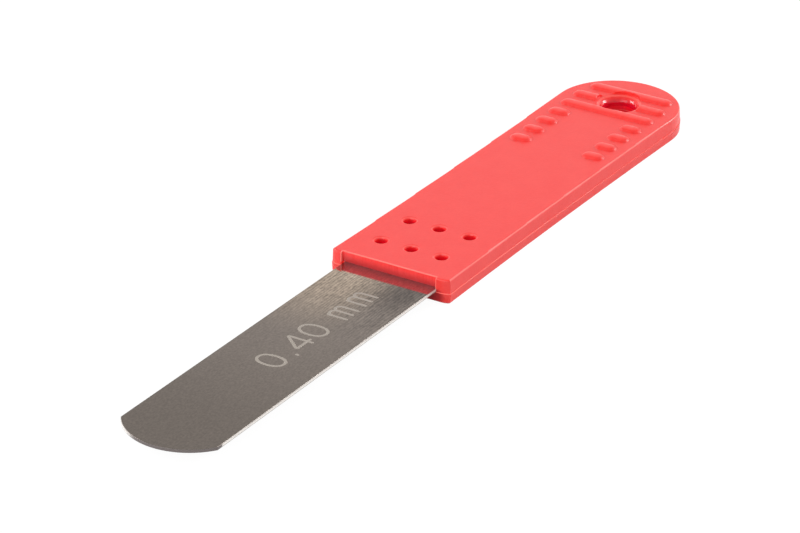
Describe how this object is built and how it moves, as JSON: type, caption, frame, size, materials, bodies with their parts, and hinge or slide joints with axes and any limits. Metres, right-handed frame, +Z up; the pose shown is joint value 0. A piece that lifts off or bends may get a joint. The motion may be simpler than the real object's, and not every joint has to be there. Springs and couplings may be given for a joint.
{
  "type": "valve clearance gauge",
  "caption": "Flat hand gauge: a thin steel strip with a round tip, moulded into a slim red plastic handle with finger ribs and a hanging hole.",
  "frame": {"origin": "under the middle of the whole gauge, on the surface that the handle rests on", "axes": "+X along the gauge from the blade's tip towards the hanging hole, +Y across it, +Z up through its thickness"},
  "size_m": [0.1112, 0.0166, 0.0035],
  "materials": {
    "spring_steel": "satin rolled strip, bright slit edges",
    "red_plastic": "fine satin moulding"
  },
  "bodies": {
    "root": {"gauge_blade": "spring_steel", "handle": "red_plastic"}
  },
  "joints": []
}
